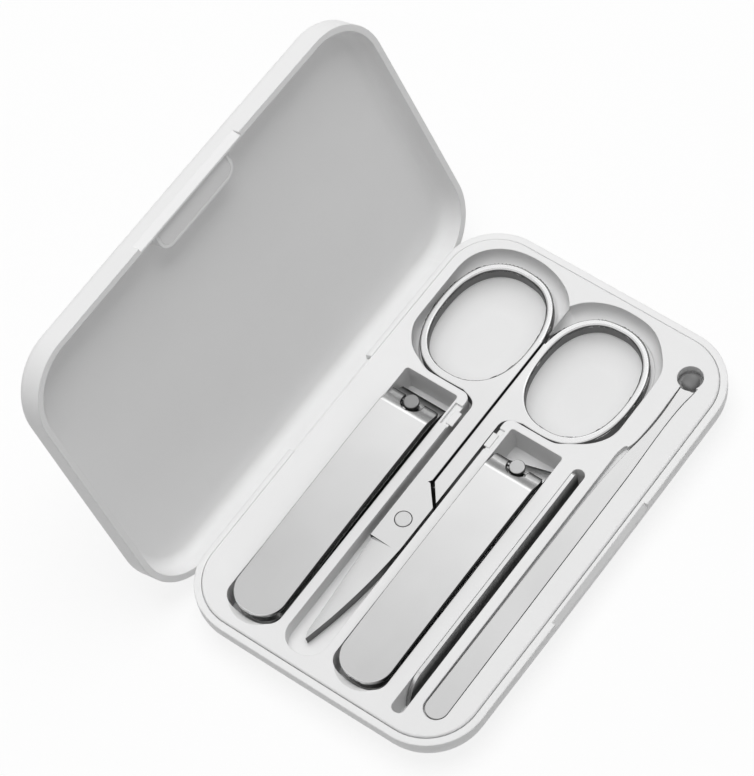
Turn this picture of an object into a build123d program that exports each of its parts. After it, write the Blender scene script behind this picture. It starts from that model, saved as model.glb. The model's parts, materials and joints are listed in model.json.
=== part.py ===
from build123d import *
import os
from math import cos, pi, sin

# Manicure set in a hinged case. Millimetres, +Z up, +Y toward the hinge, +X along the
# long side. The origin is the centre of the case's flat underside.

# Case outline and heights
CASE_L = 112.0
CASE_W = 71.54
END_BOW = 0.13
SIDE_BOW = 0.30
CORNER_R = 13.6
BASE_H = 9.5
BASE_ROUND = 7.7
LEDGE_W = 1.62
FLOOR_T = 1.3
STEP_Z = 8.8
STEP_INSET = 2.3
TRAY_TOP = 10.0
SEAM = 0.15
SEAM_ROUND = 0.45
CLIPPER_FLOOR = 2.3
SCOOP_DEPTH = 5.0
SCOOP_TAPER = 42
LID_DEPTH = 6.74
LID_ROUND = 2.1
LID_RIM = 1.45
LID_CEILING = 5.2
LID_GAP = 0.06

# Hinge
HINGE_Y = 33.8
HINGE_Z = 7.0
LID_ANGLE = 111.03
KNUCKLE_R = 1.5
PIN_R = 0.6
PIN_HALF = 13.2
LID_KNUCKLE = 6.9
BASE_KNUCKLE = 7.05
KNUCKLE_END = 13.5
NOTCH_END = 13.8
SWING_R = 2.45

# Magnet catch
PAD_HALF = 12.0
PAD_FRONT = -34.6
PAD_REAR = -28.6
PAD_Z = 10.3
COVER_T = 1.0
PAD_RIM = 0.8

# Nail clippers
ARM_W = 11.8
ARM_REAR_R = 5.2
ARM_T = 1.45
JAW_GAP = 1.26
LEVER_W = 12.2
LEVER_T = 1.0
LEVER_REAR = -49.9
LEVER_ARCH = 0.42
PIN_SHAFT_R = 1.1
PIN_HEAD_R = 1.75
TOOL_REAR = -49.5
RIVET_X = -46.0
RIVET_R = 0.9

# Scissors
RING_FLOOR = 5.95
RING_ROOM = 0.4
RING_WALL_R = 3.2
RING_WELL_X = 17.3
DISH_FLOOR = 2.45
SC_BOTTOM = 6.05
SC_MID = 7.525
SC_TOP = 9.0
SC_GAP = 0.025
PIVOT = (-14.09, 5.21)
SPLIT_Y = 5.21
SPLIT_GAP = 0.2
RING_X = 17.85
RIVET_HEAD_R = 1.85
SHANK_TOP = 8.92
SHANK_LOW = 1.5

# Ear pick
PICK_FLOOR = 8.7
PICK_TOP = 9.85
SPOON = (45.9, -26.5)
SPOON_R = 2.99
SPOON_HOLLOW_R = 2.95
SPOON_WALL = 0.42
SPOON_RIM = 8.35
SPOON_BOTTOM = 7.0
SPOON_FLOOR = 6.9
RECESS = (46.0, -26.45)
RECESS_R = 2.85
SLOPE_START = 43.2
SLOPE_END = 44.9

os.makedirs("parts", exist_ok=True)


def save(shape, name):
    export_step(shape, f"parts/{name}.step")


def box(x0, x1, y0, y1, z0, z1):
    centre = Pos((x0 + x1) / 2, (y0 + y1) / 2, (z0 + z1) / 2)
    return centre * Box(x1 - x0, y1 - y0, z1 - z0)


def prism(sketch, z0, z1):
    return extrude(Pos(0, 0, z0) * sketch, z1 - z0)


def post(x, y, z0, z1, radius):
    return Pos(x, y, (z0 + z1) / 2) * Cylinder(radius, z1 - z0)


def rod_x(x0, x1, y, z, radius):
    return Pos((x0 + x1) / 2, y, z) * Rot(0, 90, 0) * Cylinder(radius, x1 - x0)


def rod_y(x, y0, y1, z, radius):
    return Pos(x, (y0 + y1) / 2, z) * Rot(90, 0, 0) * Cylinder(radius, y1 - y0)


def wedge_x(points, x0, x1):
    # A bar along X whose section is a polygon of (y, z) points.
    wire = Polyline(*[(x0, y, z) for y, z in points], close=True)
    return extrude(make_face(wire), x1 - x0, dir=(1, 0, 0))


def outline(inset=0.0):
    x = CASE_L / 2 - END_BOW
    y = CASE_W / 2 - SIDE_BOW
    edges = [
        ThreePointArc((-x, -y), (0, -CASE_W / 2), (x, -y)),
        ThreePointArc((x, -y), (CASE_L / 2, 0), (x, y)),
        ThreePointArc((x, y), (0, CASE_W / 2), (-x, y)),
        ThreePointArc((-x, y), (-CASE_L / 2, 0), (-x, -y)),
    ]
    face = make_face(edges)
    face = fillet(face.vertices(), CORNER_R)
    if inset:
        face = offset(face, -inset)
    return face


def block(inset, z0, z1, low_round=0.0, top_round=0.0):
    solid = prism(outline(inset), z0, z1)
    if low_round:
        solid = fillet(solid.edges().group_by(Axis.Z)[0], low_round)
    if top_round:
        solid = fillet(solid.edges().group_by(Axis.Z)[-1], top_round)
    return solid


def round_rect(x0, x1, y0, y1, near_r, far_r):
    # A rectangle whose corners at low X and at high X take different radii.
    wire = Polyline((x0, y0), (x1, y0), (x1, y1), (x0, y1), close=True)
    face = make_face(wire)
    ends = face.vertices().group_by(Axis.X)
    face = fillet(ends[0], near_r)
    ends = face.vertices().filter_by(lambda v: v.X > x1 - 0.01)
    return fillet(ends, far_r)


def oval(x0, x1, y0, y1, power=2.3, count=24):
    # A closed, slightly squared oval that fills the given bounds.
    cx = (x0 + x1) / 2
    cy = (y0 + y1) / 2
    points = []
    for i in range(count):
        angle = 2 * pi * i / count
        c = cos(angle)
        s = sin(angle)
        px = abs(c) ** (2 / power) * (1 if c >= 0 else -1)
        py = abs(s) ** (2 / power) * (1 if s >= 0 else -1)
        points.append((cx + px * (x1 - x0) / 2, cy + py * (y1 - y0) / 2))
    return make_face(Spline(*points, periodic=True))


# ---- base shell -----------------------------------------------------------------------
def make_base():
    shell = block(0, 0, BASE_H, low_round=BASE_ROUND, top_round=0.25)
    shell -= block(STEP_INSET, FLOOR_T, STEP_Z + 0.1, low_round=6.0)
    shell -= block(LEDGE_W, STEP_Z, BASE_H + 1)

    # Mounting block for the hinge, inside the rear wall.
    inner = block(STEP_INSET - 0.2, FLOOR_T - 0.1, STEP_Z, low_round=6.1)
    shell += box(-15.3, 15.3, 30.7, 34.3, 1.0, STEP_Z - 0.05) & inner

    # The rear top edge clears the swinging rim of the lid.
    swing = box(-52, 52, HINGE_Y, 37, HINGE_Z, BASE_H + 1)
    shell -= swing - rod_x(-53, 53, HINGE_Y, HINGE_Z, SWING_R)

    shell -= box(-NOTCH_END, NOTCH_END, 32.0, 37, 4.45, BASE_H + 1)
    for side in (-1, 1):
        ends = sorted((side * BASE_KNUCKLE, side * KNUCKLE_END))
        shell += rod_x(ends[0], ends[1], HINGE_Y, HINGE_Z, KNUCKLE_R)
        shell += box(ends[0], ends[1], 31.8, HINGE_Y, 5.6, 8.3)
    shell -= rod_x(-PIN_HALF, PIN_HALF, HINGE_Y, HINGE_Z, PIN_R)

    # Shelf for the keeper magnet behind the front wall.
    shell += box(-12, 12, -34.0, -30.55, 1.0, 7.0) & inner
    # Thumb scoop in the front edge.
    scoop = [(-34.85, BASE_H + 0.1), (-36.5, BASE_H + 0.1), (-36.5, 7.2), (-35.85, 7.6)]
    shell -= wedge_x(scoop, -17.0, 16.3)
    return shell


# ---- tray -----------------------------------------------------------------------------
def ring_wells():
    # The two hollows round the finger rings, as seen from above.
    upper = [
        Line((RING_WELL_X, SPLIT_Y), (RING_WELL_X, 20.5)),
        Spline(
            (RING_WELL_X, 20.5), (18.5, 24.5), (20.7, 28.2), (24.2, 30.6), (29.0, 31.3),
            tangents=[(0, 1), (1, 0)],
        ),
        Line((29.0, 31.3), (41.0, 31.3)),
        Spline((41.0, 31.3), (50.0, 27.0), (52.6, 18.0), tangents=[(1, 0), (0, -1)]),
        Spline((52.6, 18.0), (51.0, 10.5), (46.6, SPLIT_Y), tangents=[(0, -1), (-1, -0.6)]),
        Line((46.6, SPLIT_Y), (RING_WELL_X, SPLIT_Y)),
    ]
    lower = [
        Line((46.6, SPLIT_Y), (RING_WELL_X, SPLIT_Y)),
        Spline((46.6, SPLIT_Y), (51.0, 0.0), (52.4, -6.5), tangents=[(1, -0.6), (0, -1)]),
        Spline(
            (52.4, -6.5), (50.5, -15.0), (46.0, -19.4), (38.0, -21.0),
            tangents=[(0, -1), (-1, 0)],
        ),
        Line((38.0, -21.0), (28.0, -21.0)),
        Spline(
            (28.0, -21.0), (24.3, -20.0), (20.9, -17.0), (18.4, -13.0), (RING_WELL_X, -9.0),
            tangents=[(-1, 0), (0, 1)],
        ),
        Line((RING_WELL_X, -9.0), (RING_WELL_X, SPLIT_Y)),
    ]
    return make_face(upper), make_face(lower)


def scissors_cuts():
    # Rounded hollows round the rings, a straight-sided well close round the scissors, and
    # a wide shallow dish under each ring.
    cuts = []
    near = oval(RING_X - RING_ROOM, 49.8 + RING_ROOM, SPLIT_Y - 0.4, 30.6 + RING_ROOM)
    near += Pos(21.0, 11.5) * Rectangle(7.2, 13.0)
    near += Pos(28.0, 6.4) * Rectangle(21.2, 3.2)
    wells = ring_wells()
    for well, close in zip(wells, (near, mirror_split(near))):
        hollow = prism(well, RING_FLOOR, TRAY_TOP + 0.5)
        cuts.append(fillet(hollow.edges().group_by(Axis.Z)[0], RING_WALL_R))
        cuts.append(prism(well, RING_FLOOR, TRAY_TOP + 0.5) & prism(close, 5, 12))
    near_x = RING_WELL_X - 1.9
    slot = [
        Line((-51.5, 0.45), (-51.5, 10.15)),
        Line((-51.5, 10.15), (near_x, 10.15)),
        ThreePointArc((near_x, 10.15), (near_x + 1.343, 10.707), (RING_WELL_X, 12.05)),
        Polyline((RING_WELL_X, 12.05), (24.0, 12.05), (24.0, -1.45), (RING_WELL_X, -1.45)),
        ThreePointArc((RING_WELL_X, -1.45), (near_x + 1.343, -0.107), (near_x, 0.45)),
        Line((near_x, 0.45), (-51.5, 0.45)),
    ]
    slot = make_face(slot)
    slot = fillet(slot.vertices().filter_by(lambda v: v.X < -51), 4.5)
    cuts.append(prism(slot, RING_FLOOR, TRAY_TOP + 0.5))
    for x0, x1, y0, y1 in ((19.7, 48.2, 6.7, 29.5), (19.5, 48.2, -18.4, 3.5)):
        rim = Pos(0, 0, RING_FLOOR) * oval(x0, x1, y0, y1)
        dish = extrude(rim, RING_FLOOR - DISH_FLOOR, dir=(0, 0, -1), taper=43)
        cuts.append(fillet(dish.edges().group_by(Axis.Z)[0], 8.5))
    return cuts


def mirror_split(sketch):
    # The same sketch on the other side of the plane between the two scissors halves.
    return Pos(0, 2 * SPLIT_Y, 0) * mirror(sketch, Plane.XZ)


def pick_pocket():
    edges = [
        Line((-45.7, -29.3), (18.0, -28.95)),
        Spline(
            (18.0, -28.95), (37.0, -28.65), (41.0, -28.95), (44.5, -29.3),
            tangents=[(1, 0.006), (1, 0)],
        ),
        Line((44.5, -29.3), (44.5, -25.75)),
        Line((44.5, -25.75), (41.0, -25.8)),
        Spline(
            (41.0, -25.8), (37.0, -25.9), (30.0, -25.75), (25.2, -24.9),
            tangents=[(-1, 0), (-1, 0.5)],
        ),
        Spline((25.2, -24.9), (24.2, -24.0), (22.2, -23.7), tangents=[(0, 1), (-1, 0)]),
        Line((22.2, -23.7), (-45.7, -23.7)),
        ThreePointArc((-45.7, -23.7), (-48.5, -26.5), (-45.7, -29.3)),
    ]
    return make_face(edges)


def make_tray():
    pockets = [
        (round_rect(-50.2, 15.7, 12.4, 25.9, 3.4, 0.7), CLIPPER_FLOOR),
        (round_rect(-50.2, 15.6, -14.9, -1.75, 3.4, 0.7), CLIPPER_FLOOR),
        (round_rect(-51.2, 15.3, -21.4, -18.4, 1.45, 1.45), 2.9),
        (pick_pocket(), PICK_FLOOR),
        (Pos(*RECESS) * Circle(RECESS_R), SPOON_FLOOR),
    ]
    cups = [
        box(-54, 16.8, 11.3, 27.0, 1.0, 9.0),
        box(-54, 16.7, -16.0, -0.6, 1.0, 9.0),
        box(-53, 18.0, -0.7, 11.4, 4.9, 9.0),
        box(16.2, 55, -22.1, 32.5, 1.4, 9.0),
        box(-53, 16.3, -22.5, -15.9, 1.9, 9.0),
        box(-50, 50, -30.3, -22.0, 6.2, 9.0),
    ]
    envelope = block(STEP_INSET + 0.1, FLOOR_T + 0.05, STEP_Z + 0.3, low_round=5.9)
    limit = block(3.2, 2.3, TRAY_TOP + 1, low_round=5.2)
    tray = block(LEDGE_W + SEAM, STEP_Z, TRAY_TOP, top_round=SEAM_ROUND)
    for cup in cups:
        tray += cup & envelope
    for face, floor in pockets:
        tray -= prism(face, floor, TRAY_TOP + 0.5) & limit

    for cut in scissors_cuts():
        tray -= cut & limit
    for y0, y1, radius in ((12.4, 25.9, 6.7), (-14.9, -1.75, 6.5)):
        # The thumb end of each clipper pocket slopes, so the lever can be reached.
        rim = round_rect(-52.0, -37.0, y0, y1, radius, 0.7)
        tray -= prism(rim, TRAY_TOP, TRAY_TOP + 0.5)
        rim = Pos(0, 0, TRAY_TOP) * rim
        tray -= extrude(rim, SCOOP_DEPTH, dir=(0, 0, -1), taper=SCOOP_TAPER)
    # Snap tabs that keep the shanks of the scissors down, each in a shallow recess.
    for low, high, tip, root in ((9.9, 11.9, 9.35, 11.0), (-0.9, 0.7, 1.1, -0.3)):
        recess = box(8.4, 14.2, low, high, 9.4, TRAY_TOP + 1)
        near, far = sorted((tip, root))
        tab = box(9.2, 12.8, near, far, 9.1, 9.65)
        tray -= recess
        tray += tab
    return tray


# ---- lid, built shut and then swung open ------------------------------------------------
def opened(shape):
    pivot = Pos(0, HINGE_Y, HINGE_Z)
    back = Pos(0, -HINGE_Y, -HINGE_Z)
    return pivot * Rot(-LID_ANGLE, 0, 0) * back * shape


def pad_sketch(inset):
    x = PAD_HALF - inset
    wire = Polyline(
        (-x, PAD_FRONT + inset), (x, PAD_FRONT + inset), (x, PAD_REAR - inset),
        (-x, PAD_REAR - inset), close=True,
    )
    face = make_face(wire)
    return fillet(face.vertices().group_by(Axis.Y)[-1], 3.0 - inset)


def make_lid():
    shell = block(0, BASE_H + LID_GAP, BASE_H + LID_DEPTH, top_round=LID_ROUND)
    shell -= block(LID_RIM, BASE_H - 1, BASE_H + LID_CEILING, top_round=2.4)
    shell += prism(pad_sketch(0), PAD_Z, BASE_H + LID_CEILING + 0.2)
    shell -= prism(pad_sketch(PAD_RIM), PAD_Z - 1, PAD_Z + COVER_T)
    shell -= box(-9.5, 9.5, -32.9, -30.0, PAD_Z, 13.3)
    shell += rod_x(-LID_KNUCKLE, LID_KNUCKLE, HINGE_Y, HINGE_Z, KNUCKLE_R)
    shell += box(-LID_KNUCKLE, LID_KNUCKLE, 34.35, HINGE_Y + KNUCKLE_R, HINGE_Z, 10.2)
    shell -= rod_x(-8, 8, HINGE_Y, HINGE_Z, PIN_R + 0.05)
    notch = [(-34.75, 9.4), (-36.5, 9.4), (-36.5, 12.2), (-35.9, 11.7)]
    shell -= wedge_x(notch, -16.8, 16.4)
    return shell


# ---- nail clippers ----------------------------------------------------------------------
def arm_side(y, mid, edge_x, sign):
    # The outline of one arm in the plane of its side; sign is -1 below, 1 above.
    def point(x, height):
        if x > 2.0:
            x = 2.0 + (x - 2.0) * (edge_x - 2.0) / 10.6
        return (x, y, mid + sign * height)

    deep = mid - 2.37
    drop = deep - JAW_GAP / 2
    rear = ARM_T + 0.01
    outer = Spline(
        point(-44.5, rear), point(-30.0, rear + (deep - rear) * 0.58),
        point(-12.0, deep - 0.16), point(2.0, deep), point(6.5, deep),
        point(9.0, deep - 0.14 * drop), point(11.2, deep - 0.52 * drop),
        point(12.6, deep - 0.96 * drop),
    )
    inner = Spline(
        point(12.6, deep - drop), point(10.6, deep - ARM_T - 0.32 * drop),
        point(8.6, deep - ARM_T - 0.08 * drop), point(6.0, deep - ARM_T),
        point(2.0, deep - ARM_T), point(-12.0, deep - ARM_T - 0.16),
        point(-30.0, (deep - rear) * 0.58), point(RIVET_X, 0.01),
    )
    edges = [
        Line(point(TOOL_REAR, 0.01), point(TOOL_REAR, rear)),
        Line(point(TOOL_REAR, rear), point(-44.5, rear)),
        outer,
        Line(point(12.6, deep - 0.96 * drop), point(12.6, deep - drop)),
        inner,
        Line(point(RIVET_X, 0.01), point(TOOL_REAR, 0.01)),
    ]
    return make_face(edges)


def make_arm(cy, mid, near_edge, far_edge, sign):
    low = arm_side(cy - ARM_W / 2, mid, near_edge, sign)
    high = arm_side(cy + ARM_W / 2, mid, far_edge, sign)
    arm = loft([low, high], ruled=True)
    plan = round_rect(TOOL_REAR, 16, cy - ARM_W / 2, cy + ARM_W / 2, ARM_REAR_R, 0.4)
    return arm & prism(plan, 0, 14)


def make_clipper(name, cy, mid, pin_x, edges, lever, bar_z, head_z):
    near_edge, far_edge = edges
    lower = make_arm(cy, mid, near_edge, far_edge, -1)
    lower -= post(RIVET_X, cy, 0, mid, RIVET_R)
    lower -= post(pin_x, cy, 0, mid, PIN_SHAFT_R)
    lower -= post(pin_x, cy, 0, 2.95, 1.8)
    save(lower, f"{name}_lower_arm")

    upper = make_arm(cy, mid, near_edge, far_edge, 1)
    upper -= post(RIVET_X, cy, mid, 14, RIVET_R + 0.08)
    upper -= post(pin_x, cy, mid, 14, 1.5)
    save(upper, f"{name}_upper_arm")

    low = mid - ARM_T - 0.01
    high = mid + ARM_T + 0.07
    rivet = post(RIVET_X, cy, low - 0.5, low, 1.5)
    rivet += post(RIVET_X, cy, low - 0.1, high + 0.1, RIVET_R)
    rivet += post(RIVET_X, cy, high, high + 0.5, 1.5)
    rivet = fillet(rivet.edges().filter_by(GeomType.CIRCLE).group_by(Axis.Z)[-1], 0.3)
    save(rivet, f"{name}_rear_rivet")

    pin = post(pin_x, cy, 2.36, 2.95, 1.75)
    pin += post(pin_x, cy, 2.9, head_z + 0.1, PIN_SHAFT_R)
    pin += post(pin_x, cy, head_z, head_z + 0.8, PIN_HEAD_R)
    pin = fillet(pin.edges().filter_by(GeomType.CIRCLE).group_by(Axis.Z)[-1], 0.3)
    pin += rod_y(pin_x, cy - 3.1, cy + 3.1, bar_z, 0.35)
    save(pin, f"{name}_pin")

    rear_top, front_top, nose_x, nose_z = lever
    fold = nose_x - 4.6
    rear = LEVER_REAR - 1.0
    middle = (rear + fold) / 2
    crown = (rear_top + front_top) / 2 + LEVER_ARCH
    top = Spline(
        (fold, cy, front_top), (fold + 1.3, cy, front_top - 0.33),
        (fold + 2.8, cy, front_top - 1.0), (nose_x, cy, nose_z + 0.55),
        tangents=[(1, 0, -0.02), (0.35, 0, -0.9)],
    )
    under = Spline(
        (nose_x - 0.35, cy, nose_z), (nose_x - 1.5, cy, nose_z + 0.12),
        (fold + 1.2, cy, front_top - 1.32), (fold - 0.3, cy, front_top - LEVER_T - 0.02),
    )
    edge = [
        ThreePointArc((rear, cy, rear_top), (middle, cy, crown), (fold, cy, front_top)),
        top,
        Line((nose_x, cy, nose_z + 0.55), (nose_x - 0.35, cy, nose_z)),
        under,
        ThreePointArc(
            (fold - 0.3, cy, front_top - LEVER_T - 0.02), (middle, cy, crown - LEVER_T),
            (rear, cy, rear_top - LEVER_T),
        ),
        Line((rear, cy, rear_top - LEVER_T), (rear, cy, rear_top)),
    ]
    plate = extrude(make_face(edge), LEVER_W / 2, dir=(0, 1, 0), both=True)
    plan = round_rect(LEVER_REAR, nose_x + 0.5, cy - LEVER_W / 2, cy + LEVER_W / 2, 5.4, 1.5)
    plate &= prism(plan, 0, 16)
    slot = Pos(pin_x + 0.3, cy) * Circle(2.5)
    slot += Pos(pin_x + 3.3, cy) * Rectangle(6.0, 5.0)
    plate -= prism(slot, 0, 16)
    plate -= rod_y(pin_x, cy - 3.2, cy + 3.2, bar_z, 0.40)
    save(plate, f"{name}_lever")


# ---- scissors ---------------------------------------------------------------------------
def half_plan(right, top, ring_inner):
    # A shank and its finger ring; the ring's near side is squared off next to the shank.
    low = SPLIT_Y + SPLIT_GAP
    middle = (low + top) / 2
    edges = [
        Line((-3.2, low), (-7.6, SHANK_TOP)),
        Line((-7.6, SHANK_TOP), (14.6, SHANK_TOP)),
        Spline(
            (14.6, SHANK_TOP), (16.9, 10.0), (RING_X, 12.6), (RING_X, middle),
            tangents=[(1, 0), (0, 1)],
        ),
        Polyline((RING_X, middle), (24.0, middle), (24.0, 7.6), (37.0, 7.6), (37.0, low)),
        Line((37.0, low), (-3.2, low)),
    ]
    return make_face(edges) + oval(RING_X, right, low, top) - oval(*ring_inner)


def pivot_plan():
    # The half-thickness area round the pivot.
    wire = Polyline(
        (-4.0, SPLIT_Y + SPLIT_GAP), (-8.5, SHANK_LOW), (-20.8, SHANK_LOW),
        (-20.8, SHANK_TOP), (-4.0, SHANK_TOP), close=True,
    )
    return make_face(wire)


def blade_plan(inset):
    # The blade as seen from above; inset draws its edges in.
    low = SHANK_LOW + inset
    high = 8.42 - inset
    edges = [
        Spline((-20.6, low), (-29.6, low + 0.8), (-39.6, low + 2.4), (-47.5 + inset, 5.9)),
        Line((-47.5 + inset, 5.9), (-46.0, 6.6 - inset)),
        Line((-46.0, 6.6 - inset), (-20.6, high)),
        Line((-20.6, high), (-20.6, low)),
    ]
    return make_face(edges)


def over(shape):
    # Turned over about the line where the two halves meet.
    return Pos(0, SPLIT_Y, SC_MID) * Rot(180, 0, 0) * Pos(0, -SPLIT_Y, -SC_MID) * shape


def rivet_room():
    room = post(PIVOT[0], PIVOT[1], 0, 12, 1.1)
    return room + post(PIVOT[0], PIVOT[1], SC_TOP - 0.65, 12, RIVET_HEAD_R + 0.06)


def make_scissors():
    upper = prism(half_plan(49.8, 30.6, (19.75, 48.0, 7.0, 28.9)), SC_BOTTOM, SC_TOP)
    upper += prism(pivot_plan(), SC_MID + SC_GAP, SC_TOP)
    # The blade's face is ground down toward its cutting edge, which leaves a shoulder.
    blade = prism(blade_plan(0.0), SC_MID + SC_GAP, SC_TOP)
    grind = [(3.2, SC_TOP + 0.01), (10.0, SC_TOP + 0.01), (10.0, SC_TOP - 1.0)]
    upper += blade - wedge_x(grind, -50, -20)
    save(upper - rivet_room(), "scissors_upper_half")

    # The lower blade lies wholly under the upper one while the scissors are shut.
    lower = over(prism(half_plan(49.4, 30.2, (19.65, 47.7, 7.2, 28.5)), SC_BOTTOM, SC_TOP))
    lower += over(prism(pivot_plan(), SC_MID + SC_GAP, SC_TOP))
    lower += prism(blade_plan(0.15), SC_BOTTOM, SC_MID - SC_GAP)
    save(lower - over(rivet_room()), "scissors_lower_half")

    x, y = PIVOT
    rivet = post(x, y, SC_BOTTOM + 0.03, SC_BOTTOM + 0.62, RIVET_HEAD_R)
    rivet += post(x, y, SC_BOTTOM + 0.5, SC_TOP - 0.5, 1.05)
    rivet += post(x, y, SC_TOP - 0.62, SC_TOP + 0.08, RIVET_HEAD_R)
    rivet = fillet(rivet.edges().filter_by(GeomType.CIRCLE).group_by(Axis.Z)[-1], 0.2)
    save(rivet, "scissors_rivet")


# ---- flat tools -------------------------------------------------------------------------
def make_file():
    y = -19.45
    edges = [
        Line((14.2, y, 3.0), (14.2, y, 10.3)),
        Line((14.2, y, 10.3), (-41.0, y, 10.3)),
        Spline(
            (-41.0, y, 10.3), (-44.2, y, 8.6), (-46.6, y, 3.0),
            tangents=[(-1, 0, 0), (-0.2, 0, -1)],
        ),
        Line((-46.6, y, 3.0), (14.2, y, 3.0)),
    ]
    blade = extrude(make_face(edges), 0.9, dir=(0, 1, 0))
    ends = blade.edges().filter_by(Axis.Y).group_by(Axis.X)[-1]
    return fillet(ends, 1.2)


def make_pick():
    edges = [
        Line((-45.6, -29.1), (18.0, -28.75)),
        Spline(
            (18.0, -28.75), (37.0, -28.45), (41.0, -28.75), (43.6, -29.05),
            tangents=[(1, 0.006), (1, 0)],
        ),
        ThreePointArc((43.6, -29.05), (44.7, -27.4), (43.2, -25.95)),
        Spline(
            (43.2, -25.95), (38.0, -26.2), (30.0, -26.05), (24.0, -25.3), (10.0, -24.35),
            tangents=[(-1, 0), (-1, 0.03)],
        ),
        Line((10.0, -24.35), (-45.6, -24.0)),
        ThreePointArc((-45.6, -24.0), (-48.15, -26.55), (-45.6, -29.1)),
    ]
    strip = prism(make_face(edges), PICK_FLOOR + 0.02, PICK_TOP)
    # The end of the strip bends down to a small round cup, sunk in its own recess.
    x, y = SPOON
    bend = [
        (SLOPE_START, PICK_TOP), (SLOPE_END, SPOON_RIM), (SLOPE_END + 0.5, SPOON_RIM),
        (SLOPE_END + 0.5, SPOON_BOTTOM + 0.6), (SLOPE_END - 0.5, SPOON_BOTTOM + 0.6),
        (SLOPE_START, PICK_FLOOR + 0.04),
    ]
    neck = make_face(Polyline(*[(px, -28.6, pz) for px, pz in bend], close=True))
    neck = extrude(neck, 2.45, dir=(0, 1, 0)) & post(*RECESS, 5, 11, RECESS_R - 0.1)
    above = [
        (SLOPE_START, PICK_TOP + 0.01), (SLOPE_END, SPOON_RIM), (50, SPOON_RIM), (50, 12),
        (SLOPE_START, 12),
    ]
    above = make_face(Polyline(*[(px, -31, pz) for px, pz in above], close=True))
    above = extrude(above, 8, dir=(0, 1, 0))
    cup = Pos(x, y, SPOON_BOTTOM + SPOON_R) * Rot(90, 0, 0) * Sphere(SPOON_R)
    cup &= post(x, y, 5, SPOON_RIM, 3.5)
    hollow = Pos(x, y, SPOON_BOTTOM + SPOON_WALL + SPOON_HOLLOW_R) * Rot(90, 0, 0)
    hollow *= Sphere(SPOON_HOLLOW_R)
    return strip + neck - above + cup - hollow


save(make_base(), "base_shell")
save(make_tray(), "tray")
save(opened(make_lid()), "lid_shell")
save(rod_x(-PIN_HALF, PIN_HALF, HINGE_Y, HINGE_Z, PIN_R), "hinge_pin")
save(box(-10, 10, -33.2, -30.7, 7.0, 8.7), "base_magnet")
save(opened(prism(pad_sketch(PAD_RIM + 0.03), PAD_Z + 0.02, PAD_Z + COVER_T)), "magnet_cover")
save(opened(box(-9.3, 9.3, -32.7, -30.2, PAD_Z + COVER_T + 0.02, 13.3)), "lid_magnet")
make_clipper("straight_clipper", 19.15, 6.08, 8.4, (12.6, 12.6), (11.0, 12.4, 9.8, 9.98),
             10.55, 11.5)
make_clipper("slant_clipper", -8.3, 5.61, 8.3, (13.2, 10.0), (10.65, 11.4, 9.2, 9.05),
             9.62, 10.1)
make_scissors()
save(make_file(), "nail_file")
save(make_pick(), "ear_pick")
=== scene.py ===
# %% [markdown]
# # A manicure set in a hinged case
#
# The object is a small white case that stands open, with steel tools in a moulded tray. The CAD frame gives
# the solid shapes, so this lesson is about what a frame doesn't hold: a camera, light, a floor, the rounded
# edges of stamped steel, and finishes that look like moulded plastic and polished metal.

# %% Load the frame
import json
from collections import namedtuple
from math import radians

import bmesh
import bpy
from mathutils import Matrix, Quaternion, Vector

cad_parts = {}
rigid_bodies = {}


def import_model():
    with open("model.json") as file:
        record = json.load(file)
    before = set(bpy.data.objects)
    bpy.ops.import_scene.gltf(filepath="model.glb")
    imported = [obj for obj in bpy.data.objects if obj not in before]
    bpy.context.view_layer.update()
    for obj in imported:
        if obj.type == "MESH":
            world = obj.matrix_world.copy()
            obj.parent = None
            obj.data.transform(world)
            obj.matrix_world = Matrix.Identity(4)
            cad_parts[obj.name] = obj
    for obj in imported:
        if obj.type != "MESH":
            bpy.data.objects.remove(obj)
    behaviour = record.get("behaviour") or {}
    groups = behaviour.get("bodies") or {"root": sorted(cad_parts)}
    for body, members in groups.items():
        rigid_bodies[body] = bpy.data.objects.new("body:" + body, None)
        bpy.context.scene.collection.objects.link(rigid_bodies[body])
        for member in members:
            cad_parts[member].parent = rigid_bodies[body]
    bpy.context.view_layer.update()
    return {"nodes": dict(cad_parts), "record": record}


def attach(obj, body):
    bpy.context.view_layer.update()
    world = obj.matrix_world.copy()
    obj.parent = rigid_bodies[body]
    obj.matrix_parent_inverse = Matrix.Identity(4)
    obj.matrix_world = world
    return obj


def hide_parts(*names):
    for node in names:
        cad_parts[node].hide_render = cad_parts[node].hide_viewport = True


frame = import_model()
nodes = frame["nodes"]
behaviour = frame["record"]["behaviour"]


for thing in bpy.data.objects:
    thing.select_set(False)

# %% [markdown]
# ## The camera
#
# The view looks down over the near left corner of the case. A long lens keeps the case's sides nearly
# parallel. A quaternion holds the camera's whole turn in one value, its roll included.

# %% Camera
LENS_MM = 177.912
SENSOR_MM = 36.0
CAMERA_PLACE = (-0.274744, -0.278109, 0.712058)
CAMERA_TURN = (0.854253, 0.255600, -0.068781, -0.447427)
CAMERA_REACH = 20.0

camera_data = bpy.data.cameras.new("camera")
camera_data.lens = LENS_MM
camera_data.sensor_width = SENSOR_MM
camera_data.clip_end = CAMERA_REACH
camera = bpy.data.objects.new("camera", camera_data)
camera.rotation_mode = "QUATERNION"
camera.rotation_quaternion = Quaternion(CAMERA_TURN)
camera.location = Vector(CAMERA_PLACE)
bpy.context.scene.collection.objects.link(camera)
bpy.context.scene.camera = camera
bpy.context.scene.view_settings.view_transform = "Standard"
print("camera stands", round(camera.location.length, 3), "m from the case")

# %% [markdown]
# ## Helpers for node trees
#
# Every tree below is built from the same few steps: add a node, feed its sockets, and mix or measure
# something. Each helper gives back the socket that holds its result, so one call can feed the next. All
# colours here are greys, so a single number can stand for one.

# %% Node helpers
# A mix node has its own sockets for each kind of value: share, first value, second value and result.
MIX_SOCKETS = {"RGBA": (0, 6, 7, 2), "FLOAT": (0, 2, 3, 0)}


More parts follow.
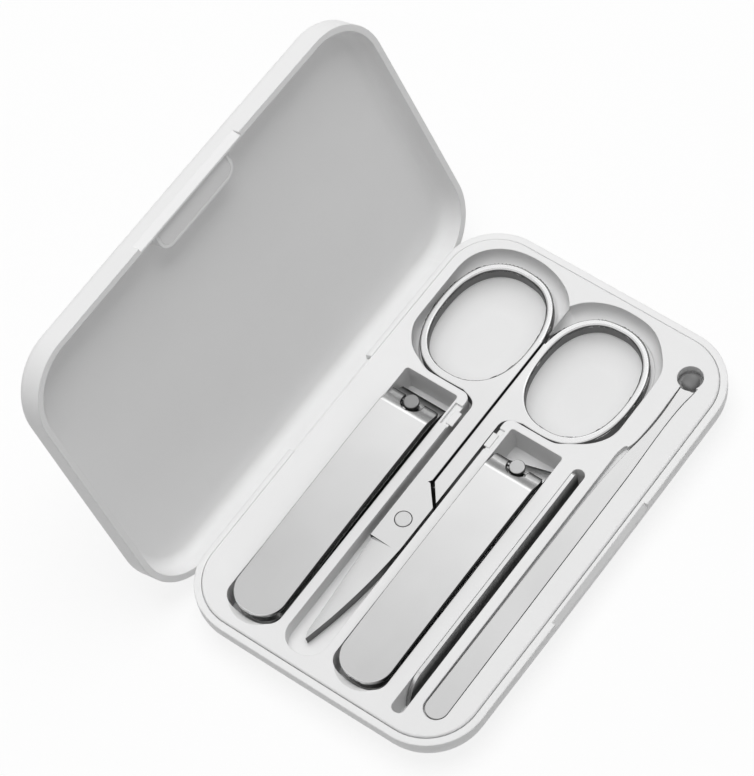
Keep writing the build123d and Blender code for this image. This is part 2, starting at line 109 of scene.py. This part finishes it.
def add_node(tree, kind, values=None, **settings):
    node = tree.nodes.new(kind)
    for name, value in settings.items():
        setattr(node, name, value)
    for name, value in (values or {}).items():
        node.inputs[name].default_value = value
    return node


def feed(tree, value, socket):
    if isinstance(value, bpy.types.NodeSocket):
        tree.links.new(value, socket)
    elif socket.type == "RGBA":
        socket.default_value = (value, value, value, 1)
    else:
        socket.default_value = value


def mix_values(tree, kind, share, first, second):
    mix = add_node(tree, "ShaderNodeMix", data_type=kind)
    *places, result = MIX_SOCKETS[kind]
    for value, place in zip((share, first, second), places):
        feed(tree, value, mix.inputs[place])
    return mix.outputs[result]


def mix_shaders(tree, share, first, second):
    mix = add_node(tree, "ShaderNodeMixShader")
    for value, socket in zip((share, first, second), mix.inputs):
        feed(tree, value, socket)
    return mix.outputs[0]


def compute(tree, operation, *values):
    node = add_node(tree, "ShaderNodeMath", operation=operation)
    for value, socket in zip(values, node.inputs):
        feed(tree, value, socket)
    return node.outputs[0]


def map_range(tree, value, start, stop, low=0.0, high=1.0, kind="SMOOTHSTEP"):
    limits = {"From Min": start, "From Max": stop, "To Min": low, "To Max": high}
    node = add_node(tree, "ShaderNodeMapRange", limits, interpolation_type=kind)
    feed(tree, value, node.inputs["Value"])
    return node.outputs["Result"]


def split_axes(tree, vector):
    node = add_node(tree, "ShaderNodeSeparateXYZ")
    feed(tree, vector, node.inputs[0])
    return node.outputs


def tone_ramp(tree, value, stops):
    node = add_node(tree, "ShaderNodeValToRGB")
    elements = node.color_ramp.elements
    # New stops start in the middle, and the next loop moves them.
    for _ in stops[2:]:
        elements.new(0.5)
    for element, (place, tone) in zip(elements, stops):
        element.position = place
        element.color = (tone, tone, tone, 1)
    feed(tree, value, node.inputs["Fac"])
    return node.outputs["Color"]


print("node helpers ready")

# %% [markdown]
# ## The world
#
# Camera rays see a white world, and matt surfaces get a little even light. Mirror-like steel sees a graded
# world, because polished metal only has the looks of what it reflects. The grading runs with the X of the
# direction: 0 covers straight up, front, back and all of the left, and 1 is level on the right. It is
# brightest a little past half way, and it dims towards the floor.

# %% World
REFLECTED_TONES = (
    (0.0, 0.62), (0.12, 0.38), (0.24, 0.49), (0.30, 0.585), (0.35, 0.68),
    (0.44, 0.88), (0.56, 1.0), (0.66, 1.0), (0.78, 0.34),
)
FLOOR_LEVEL = 0.02
CLEAR_LEVEL = 0.50
FLOOR_TONE = 0.40
REFLECTED_STRENGTH = 1.36
AMBIENT_STRENGTH = 0.35


def background(tree, tone, strength):
    light = add_node(tree, "ShaderNodeBackground", {"Strength": strength})
    feed(tree, tone, light.inputs["Color"])
    return light.outputs[0]


world = bpy.data.worlds.new("studio")
bpy.context.scene.world = world
world.use_nodes = True
tree = world.node_tree
tree.nodes.clear()
direction = split_axes(tree, add_node(tree, "ShaderNodeTexCoord").outputs["Generated"])
path = add_node(tree, "ShaderNodeLightPath")
sideways = tone_ramp(tree, direction["X"], REFLECTED_TONES)
upwards = map_range(tree, direction["Z"], FLOOR_LEVEL, CLEAR_LEVEL, FLOOR_TONE, 1.0, "LINEAR")
shade = add_node(tree, "ShaderNodeVectorMath", operation="MULTIPLY")
feed(tree, sideways, shade.inputs[0])
feed(tree, upwards, shade.inputs[1])
reflected = background(tree, shade.outputs[0], REFLECTED_STRENGTH)
ambient = background(tree, 1, AMBIENT_STRENGTH)
backdrop = background(tree, 1, 1.0)
lit = mix_shaders(tree, path.outputs["Is Glossy Ray"], ambient, reflected)
seen = mix_shaders(tree, path.outputs["Is Camera Ray"], lit, backdrop)
feed(tree, seen, add_node(tree, "ShaderNodeOutputWorld").inputs["Surface"])
print("world built with", len(tree.nodes), "nodes")

# %% [markdown]
# ## The lamp
#
# One wide disk overhead, a little behind the case and to its right, stands for a studio's soft box. It is
# hidden from reflections, since the graded world already gives the steel something to show.

# %% Lamp
LAMP_PLACE = (0.15, 0.15, 1.3)
LAMP_SIZE = 1.0
LAMP_POWER = 12.0

lamp_data = bpy.data.lights.new("overhead", "AREA")
lamp_data.shape = "DISK"
lamp_data.size = LAMP_SIZE
lamp_data.energy = LAMP_POWER
lamp = bpy.data.objects.new("overhead", lamp_data)
lamp.location = Vector(LAMP_PLACE)
lamp.rotation_euler = (-lamp.location).to_track_quat("-Z", "Y").to_euler()
lamp.visible_glossy = False
bpy.context.scene.collection.objects.link(lamp)
print("lamp", lamp.name, "gives", LAMP_POWER, "W")

# %% [markdown]
# ## The floor
#
# A plain pale floor catches the soft shadow under the case. Where the camera or a reflection sees it, most
# of its white is a glow of its own, so the background is white with no stronger lamp. All other rays meet a
# darker, plain matt floor.

# %% Floor
FLOOR_SIZE = 8.0
FLOOR_LIT_TONE = 0.60
FLOOR_SEEN_TONE = 0.95
GLOW_SHARE = 0.84

bpy.ops.mesh.primitive_plane_add(size=FLOOR_SIZE, location=(0, 0, 0))
floor = bpy.context.object
floor.name = "floor"
pale_floor = bpy.data.materials.new("pale_floor")
pale_floor.use_nodes = True
tree = pale_floor.node_tree
tree.nodes.clear()
path = add_node(tree, "ShaderNodeLightPath")
seen = compute(tree, "MAXIMUM", path.outputs["Is Camera Ray"], path.outputs["Is Glossy Ray"])
seen = compute(tree, "MAXIMUM", seen, path.outputs["Is Transmission Ray"])
matt = add_node(tree, "ShaderNodeBsdfDiffuse")
feed(tree, mix_values(tree, "RGBA", seen, FLOOR_LIT_TONE, FLOOR_SEEN_TONE), matt.inputs["Color"])
glow = add_node(tree, "ShaderNodeEmission", {"Color": (1, 1, 1, 1), "Strength": 1.0})
share = compute(tree, "MULTIPLY", seen, GLOW_SHARE)
surface = mix_shaders(tree, share, matt.outputs[0], glow.outputs[0])
feed(tree, surface, add_node(tree, "ShaderNodeOutputMaterial").inputs["Surface"])
floor.data.materials.append(pale_floor)
print("floor is", FLOOR_SIZE, "m wide")

# %% [markdown]
# ## Fine grain, shared by every finish
#
# Moulded plastic has a faint skin of tiny pits, and polished steel has hairline scratches. Both are noise
# in object space, stretched along one axis for steel, so one node group serves both. A second, broad noise
# lets the tone drift a little from place to place.

# %% Grain group
FINE_DETAIL = 3.0
BROAD_DETAIL = 2.0
BROAD_SCALE = 60.0


def add_group_sockets(group, inputs, outputs):
    for name, low, high, start in inputs:
        socket = group.interface.new_socket(name, in_out="INPUT", socket_type="NodeSocketFloat")
        socket.min_value = low
        socket.max_value = high
        socket.default_value = start
    for name in outputs:
        group.interface.new_socket(name, in_out="OUTPUT", socket_type="NodeSocketFloat")


def make_grain_group():
    group = bpy.data.node_groups.new("surface_grain", "ShaderNodeTree")
    inputs = (("Scale", 0, 10000, 900.0), ("Stretch X", 0, 100, 1.0), ("Stretch Y", 0, 100, 1.0))
    add_group_sockets(group, inputs, ("Fine", "Broad"))
    given = add_node(group, "NodeGroupInput").outputs
    place = add_node(group, "ShaderNodeTexCoord").outputs["Object"]
    stretch = add_node(group, "ShaderNodeCombineXYZ", {"Z": 1.0})
    feed(group, given["Stretch X"], stretch.inputs["X"])
    feed(group, given["Stretch Y"], stretch.inputs["Y"])
    stretched = add_node(group, "ShaderNodeVectorMath", operation="MULTIPLY")
    feed(group, place, stretched.inputs[0])
    feed(group, stretch.outputs[0], stretched.inputs[1])
    fine = add_node(group, "ShaderNodeTexNoise", {"Detail": FINE_DETAIL})
    feed(group, stretched.outputs[0], fine.inputs["Vector"])
    feed(group, given["Scale"], fine.inputs["Scale"])
    broad = add_node(group, "ShaderNodeTexNoise", {"Detail": BROAD_DETAIL, "Scale": BROAD_SCALE})
    feed(group, place, broad.inputs["Vector"])
    result = add_node(group, "NodeGroupOutput").inputs
    feed(group, fine.outputs["Fac"], result["Fine"])
    feed(group, broad.outputs["Fac"], result["Broad"])
    return group


grain_group = make_grain_group()
print("grain group has", len(grain_group.nodes), "nodes")

# %% [markdown]
# ## Polished faces, cut edges and painted shade
#
# Each tool is stamped from sheet. Its flats are polished and its sheared sides are rougher. The group below
# tells them apart by the way a surface faces, and by its height. Faces tilted well away from upward, and
# faces under a given level, take a dark tone of painted shade: the shade on steep sides and curls, in gaps
# and in hollows. Faces that face left, the tools' left ends, take a tone of their own, painted light where
# it is lighter than the sides'. The input Beyond lifts the level where it is 1.

# %% Cut edge and painted shade group
# Faces less upward than these take painted shade, and faces turned towards -X by these take the end tone.
SIDE_FACING = 0.66
FLAT_FACING = 0.93
END_STARTS = -0.35
END_FULL = -0.85


def make_cut_and_shade_group():
    group = bpy.data.node_groups.new("cut_edges_and_shade", "ShaderNodeTree")
    add_group_sockets(group, (("Level", -1, 1, 0.0), ("Beyond", 0, 1, 0.0)), ("Polished Lit", "End"))
    given = add_node(group, "NodeGroupInput").outputs
    place = add_node(group, "ShaderNodeTexCoord").outputs
    facing = split_axes(group, place["Normal"])
    height = split_axes(group, place["Object"])["Z"]
    flat = map_range(group, compute(group, "ABSOLUTE", facing["Z"]), SIDE_FACING, FLAT_FACING)
    above = compute(group, "GREATER_THAN", height, given["Level"])
    reached = compute(group, "MAXIMUM", above, given["Beyond"])
    result = add_node(group, "NodeGroupOutput").inputs
    # The share is 0 where painted shade goes: steep faces, and faces under the level.
    feed(group, compute(group, "MULTIPLY", flat, reached), result["Polished Lit"])
    feed(group, map_range(group, facing["X"], END_STARTS, END_FULL), result["End"])
    return group


cut_and_shade_group = make_cut_and_shade_group()
print("cut edge group has", len(cut_and_shade_group.nodes), "nodes")

# %% [markdown]
# ## What every finish is made of
#
# A finish mottles between a dark and a light grey, varies from smooth to rough, and has a shallow relief
# whose grain has a scale and a stretch. Plastic, nickel, rivets and pins also soften their edges in the
# shading, by a small radius in metres. Those values are its look.

# %% Parts of a finish
Look = namedtuple("Look", "dark light smooth rough grain stretch relief edge")
MOTTLE_STARTS = 0.35
MOTTLE_ENDS = 0.65
ROUGH_STARTS = 0.3
ROUGH_ENDS = 0.7
PIT_DEPTH = 0.00002
EDGE_SAMPLES = 6


def new_skin(name):
    skin = bpy.data.materials.new(name)
    skin.use_nodes = True
    skin.node_tree.nodes.clear()
    return skin


def add_grain(tree, look):
    values = {"Scale": look.grain, "Stretch X": look.stretch[0], "Stretch Y": look.stretch[1]}
    return add_node(tree, "ShaderNodeGroup", values, node_tree=grain_group).outputs


def mottled_tone(tree, grain, look):
    return tone_ramp(tree, grain["Broad"], ((MOTTLE_STARTS, look.dark), (MOTTLE_ENDS, look.light)))


def roughness(tree, grain, look):
    return map_range(tree, grain["Fine"], ROUGH_STARTS, ROUGH_ENDS, look.smooth, look.rough, "LINEAR")


def relief(tree, grain, look):
    bump = add_node(tree, "ShaderNodeBump", {"Strength": look.relief, "Distance": PIT_DEPTH})
    feed(tree, grain["Fine"], bump.inputs["Height"])
    if look.edge:
        rounded = add_node(tree, "ShaderNodeBevel", {"Radius": look.edge}, samples=EDGE_SAMPLES)
        feed(tree, rounded.outputs["Normal"], bump.inputs["Normal"])
    return bump.outputs["Normal"]


def add_shader(tree, metallic, tone, rough, normal):
    shader = add_node(tree, "ShaderNodeBsdfPrincipled", {"Metallic": metallic})
    feed(tree, tone, shader.inputs["Base Color"])
    feed(tree, rough, shader.inputs["Roughness"])
    feed(tree, normal, shader.inputs["Normal"])
    feed(tree, shader.outputs[0], add_node(tree, "ShaderNodeOutputMaterial").inputs["Surface"])


print("parts of a finish ready")

# %% [markdown]
# ## Plastic and nickel
#
# Four finishes have no cut edges: the white shell, the slightly duller tray, the greyer plate over the
# magnet, and the nickel of the magnets.


# %% Plain finishes
def plain_finish(name, metallic, look):
    skin = new_skin(name)
    tree = skin.node_tree
    grain = add_grain(tree, look)
    tone = mottled_tone(tree, grain, look)
    add_shader(tree, metallic, tone, roughness(tree, grain, look), relief(tree, grain, look))
    return skin


UNSTRETCHED = (1, 1)
case_white = plain_finish("case_white", 0, Look(0.84, 0.852, 0.42, 0.50, 2500, UNSTRETCHED, 0.10, 0.00025))
tray_white = plain_finish("tray_white", 0, Look(0.83, 0.842, 0.50, 0.60, 2500, UNSTRETCHED, 0.12, 0.00030))
cover_white = plain_finish("cover_white", 0, Look(0.78, 0.81, 0.50, 0.60, 2500, UNSTRETCHED, 0.12, 0.00015))
dark_nickel = plain_finish("dark_nickel", 1, Look(0.45, 0.52, 0.25, 0.35, 1200, UNSTRETCHED, 0.10, 0.00010))
print("plain finishes:", case_white.name, tray_white.name, cover_white.name, dark_nickel.name)

# %% [markdown]
# ## Stamped steel
#
# A stamped steel has the tone of its look on polished flats, a dark tone of painted shade on its steep
# sides and a tone of its own on its left ends, painted light where it is the lighter one. Sheared metal
# is also rougher. Three tools get more painted shade, which a helper adds:
#
# - the scissors are nearly black on the edges round their joint, painted shade for the gap between the
#   halves,
# - the nail file's sides are painted darker towards the bottom, painted shade of its deep slot, and lighter
#   upwards,
# - each lever's curled nose is painted darker than its top, painted shade that dims its reflection.

# %% Steel helpers
SHEARED_ROUGHNESS = 0.5
# The halves' turn gives the joint's place in plan. Its height is 0.5 mm under the scissors' top face.
JOINT_HEIGHT = 0.0085
JOINT_REACH = 0.0140
JOINT_CORE = 0.0095
# Near-black painted shade for the edges round the joint.
JOINT_SHADE_TONE = 0.012
# The file's sides go from painted shade low in the slot to a lighter tone near the top.
FILE_SHADE_FADES_FROM = 0.0064
FILE_SHADE_GONE_AT = 0.0101
FILE_UPPER_TONE = 0.62
# Past these places the lever's nose takes painted shade that dims its reflection.
NOSE_FROM = 0.0068
NOSE_FULL = 0.0082
NOSE_SHADE_TONE = 0.36

halves_turn = next(joint for joint in behaviour["joints"] if joint["name"] == "scissors_upper_turn")
joint_place = (*halves_turn["pos_m"][:2], JOINT_HEIGHT)


def object_place(tree):
    return add_node(tree, "ShaderNodeTexCoord").outputs["Object"]


# Painted shade: near the joint, steep faces and faces under the level take a near-black tone.
def paint_joint_shade(tree, edges, painted_edge_tone):
    away = add_node(tree, "ShaderNodeVectorMath", operation="DISTANCE")
    feed(tree, object_place(tree), away.inputs[0])
    away.inputs[1].default_value = joint_place
    near = map_range(tree, away.outputs["Value"], JOINT_REACH, JOINT_CORE)
    feed(tree, compute(tree, "SUBTRACT", 1.0, near), edges.inputs["Beyond"])
    return mix_values(tree, "RGBA", near, painted_edge_tone, JOINT_SHADE_TONE)


# Painted shade: the file's sides are near black low down and lighter towards the upper edge.
def paint_file_depth_shade(tree, edges, painted_edge_tone):
    high = map_range(tree, split_axes(tree, object_place(tree))["Z"], FILE_SHADE_FADES_FROM, FILE_SHADE_GONE_AT)
    return mix_values(tree, "RGBA", high, painted_edge_tone, FILE_UPPER_TONE)


# Painted shade: the lever's curled nose is mixed to a darker tone than its top.
def paint_nose_shade(tree, flat):
    past = map_range(tree, split_axes(tree, object_place(tree))["X"], NOSE_FROM, NOSE_FULL)
    return mix_values(tree, "RGBA", past, flat, NOSE_SHADE_TONE)


def stamped_steel(name, look, side, end, level=0.0, on_edge_tone=None, on_flat=None):
    skin = new_skin(name)
    tree = skin.node_tree
    grain = add_grain(tree, look)
    edges = add_node(tree, "ShaderNodeGroup", {"Level": level}, node_tree=cut_and_shade_group)
    polished = edges.outputs["Polished Lit"]
    # Painted shade on steep sides and under the level, and the end tone on left ends.
    painted_edge_tone = mix_values(tree, "RGBA", edges.outputs["End"], side, end)
    if on_edge_tone:
        painted_edge_tone = on_edge_tone(tree, edges, painted_edge_tone)
    flat = mottled_tone(tree, grain, look)
    if on_flat:
        flat = on_flat(tree, flat)
    tone = mix_values(tree, "RGBA", polished, painted_edge_tone, flat)
    rough = mix_values(tree, "FLOAT", polished, SHEARED_ROUGHNESS, roughness(tree, grain, look))
    add_shader(tree, 1, tone, rough, relief(tree, grain, look))
    return skin


print("the scissors' joint is at", joint_place)

# %% [markdown]
# ## Steel finishes
#
# The clippers and the scissors share one satin look, with scratches along the case. The ear pick is a
# little duller. The file's relief is strong, because its faces are cut. Rivets and pins are turned, so
# their grain is even. The two pins are one steel in two copies: painted light makes the pin nearer the
# front the brighter one, and painted shade darkens the other.

# %% Steel finishes
ALONG_CASE = (0.05, 1)
SATIN = Look(0.83, 0.87, 0.20, 0.24, 1800, ALONG_CASE, 0.03, 0.0)
PICK = Look(0.76, 0.80, 0.22, 0.27, 1800, ALONG_CASE, 0.04, 0.0)
FILE = Look(0.86, 0.90, 0.26, 0.34, 1500, UNSTRETCHED, 0.50, 0.0)
RIVET = Look(0.78, 0.82, 0.26, 0.32, 1200, UNSTRETCHED, 0.05, 0.00012)
# The two pins are one steel in a copy with painted shade and a copy with painted light.
PIN_SHADED_COPY = Look(0.32, 0.37, 0.30, 0.38, 1200, UNSTRETCHED, 0.08, 0.00012)
PIN_LIT_COPY = PIN_SHADED_COPY._replace(dark=0.60, light=0.66)
# Under these heights faces take painted shade: round the scissors' joint, and in the ear pick's spoon
# hollow.
SCISSORS_LEVEL = 0.0079
PICK_LEVEL = 0.0086

# The side tones are painted shade; an end tone lighter than its side tone is painted light.
steel = stamped_steel("satin_steel", SATIN, side=0.04, end=0.85)
lever_steel = stamped_steel("lever_steel", SATIN, side=0.04, end=0.85, on_flat=paint_nose_shade)
scissors_steel = stamped_steel(
    "scissors_steel", SATIN, side=0.16, end=0.16, level=SCISSORS_LEVEL, on_edge_tone=paint_joint_shade,
)
pick_steel = stamped_steel("pick_steel", PICK, side=0.30, end=0.42, level=PICK_LEVEL)
file_steel = stamped_steel("file_steel", FILE, side=0.02, end=0.40, on_edge_tone=paint_file_depth_shade)
rivet_steel = stamped_steel("rivet_steel", RIVET, side=0.20, end=0.20)
# The straight clipper's pin wears the painted-shade copy, the slant clipper's pin the painted-light one.
pin_steel = stamped_steel("pin_steel", PIN_SHADED_COPY, side=0.15, end=0.15)
lit_pin_steel = stamped_steel("lit_pin_steel", PIN_LIT_COPY, side=0.15, end=0.15)
print("there are", len(bpy.data.materials), "materials")

# %% [markdown]
# ## Who wears what
#
# Each node takes the finish of its material slot, unless it has one of its own.

# %% Dress the nodes
skins = {
    "case_plastic": case_white, "tray_plastic": tray_white, "cover_plastic": cover_white,
    "steel": steel, "file_steel": file_steel, "rivet_steel": rivet_steel,
    "pin_steel": rivet_steel, "magnet": dark_nickel,
}
own_skins = {
    "ear_pick": pick_steel, "straight_clipper_pin": pin_steel, "slant_clipper_pin": lit_pin_steel,
    "scissors_upper_half": scissors_steel, "scissors_lower_half": scissors_steel,
    "straight_clipper_lever": lever_steel, "slant_clipper_lever": lever_steel,
}
slot_of = {entry["node"]: entry["material_slot"] for entry in frame["record"]["subparts"]}
body_of = {node: body for body, held in behaviour["bodies"].items() for node in held}
for node, slot_name in slot_of.items():
    for holder in nodes[node].material_slots:
        holder.material = own_skins.get(node, skins[slot_name])
print("finished", len(slot_of), "nodes")

# %% [markdown]
# ## Rounded steel edges
#
# Stamped steel is tumbled before it is polished, which rounds its upper edges: a little on arms and levers,
# and much more on the finger rings, which have to be kind to the skin. The CAD solids have sharp edges, so
# each steel tool gets a dressed copy. Its loose triangles are merged, the rims of its upward faces are
# found by their normals, and a Bevel modifier rounds them. A bevel weight on each edge says how much, so
# that one modifier can round the scissors' shanks finely and their rings fully. Weighted normals then keep
# the flats looking flat.

# %% Rounding helpers
MERGE_WITHIN = 1e-6
FLAT_WITHIN = radians(0.3)
SLIVER = 0.00004
UPWARD = 0.75
SIDEWAYS = 0.5
RIM_SEGMENTS = 4
SMOOTH_WITHIN = radians(40)


def merged_copy(node):
    piece = bpy.data.objects.new(node + "_rounded", nodes[node].data.copy())
    bpy.context.scene.collection.objects.link(piece)
    for thing in bpy.context.selected_objects:
        thing.select_set(False)
    piece.select_set(True)
    bpy.context.view_layer.objects.active = piece
    bpy.ops.object.mode_set(mode="EDIT")
    bpy.ops.mesh.select_all(action="SELECT")
    bpy.ops.mesh.remove_doubles(threshold=MERGE_WITHIN)
    bpy.ops.mesh.dissolve_limited(angle_limit=FLAT_WITHIN)
    bpy.ops.mesh.dissolve_degenerate(threshold=SLIVER)
    bpy.ops.object.mode_set(mode="OBJECT")
    return piece


def is_top_rim(edge):
    if len(edge.link_faces) != 2:
        return False
    tilts = sorted(face.normal.z for face in edge.link_faces)
    return tilts[1] > UPWARD and abs(tilts[0]) < SIDEWAYS


def weigh_rims(mesh, weight_at):
    shape = bmesh.new()
    shape.from_mesh(mesh)
    weights = shape.edges.layers.float.new("bevel_weight_edge")
    rims = [edge for edge in shape.edges if is_top_rim(edge)]
    for edge in rims:
        edge[weights] = weight_at((edge.verts[0].co + edge.verts[1].co) / 2)
    shape.to_mesh(mesh)
    shape.free()
    return len(rims)


def round_rims(piece, width):
    bevel = piece.modifiers.new("rim", "BEVEL")
    bevel.width = width
    bevel.segments = RIM_SEGMENTS
    bevel.limit_method = "WEIGHT"
    bevel.use_clamp_overlap = False
    bpy.ops.object.modifier_apply(modifier="rim")
    bpy.ops.object.shade_smooth_by_angle(angle=SMOOTH_WITHIN)
    flats = piece.modifiers.new("flats", "WEIGHTED_NORMAL")
    flats.keep_sharp = True
    bpy.ops.object.modifier_apply(modifier="flats")


def rounded_copy(node, width, weight_at):
    piece = merged_copy(node)
    rims = weigh_rims(piece.data, weight_at)
    round_rims(piece, width)
    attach(piece, body_of[node])
    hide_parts(node)
    print(piece.name, "has", len(piece.data.polygons), "faces and", rims, "rim edges")


print("rounding helpers ready")

# %% [markdown]
# ## The dressed tools
#
# Widths are in metres. The scissors' shanks take a fifth of the rings' rounding, and it grows to the full
# width over the first centimetre or so of the rings.

# %% Dressed tools
RING_RIM = 0.00060
LEVER_RIM = 0.00022
ARM_RIM = 0.00004
FILE_RIM = 0.00012
PICK_RIM = 0.00015
SHANK_SHARE = 0.2
RINGS_START = 0.014
SHARE_PER_METRE = 70


def full_weight(place):
    return 1.0


def ring_weight(place):
    return min(1.0, SHANK_SHARE + max(0.0, (place.x - RINGS_START) * SHARE_PER_METRE))


for half in ("upper", "lower"):
    rounded_copy("scissors_" + half + "_half", RING_RIM, ring_weight)
for clipper in ("straight_clipper", "slant_clipper"):
    rounded_copy(clipper + "_lever", LEVER_RIM, full_weight)
    rounded_copy(clipper + "_upper_arm", ARM_RIM, full_weight)
    rounded_copy(clipper + "_lower_arm", ARM_RIM, full_weight)
rounded_copy("nail_file", FILE_RIM, full_weight)
rounded_copy("ear_pick", PICK_RIM, full_weight)
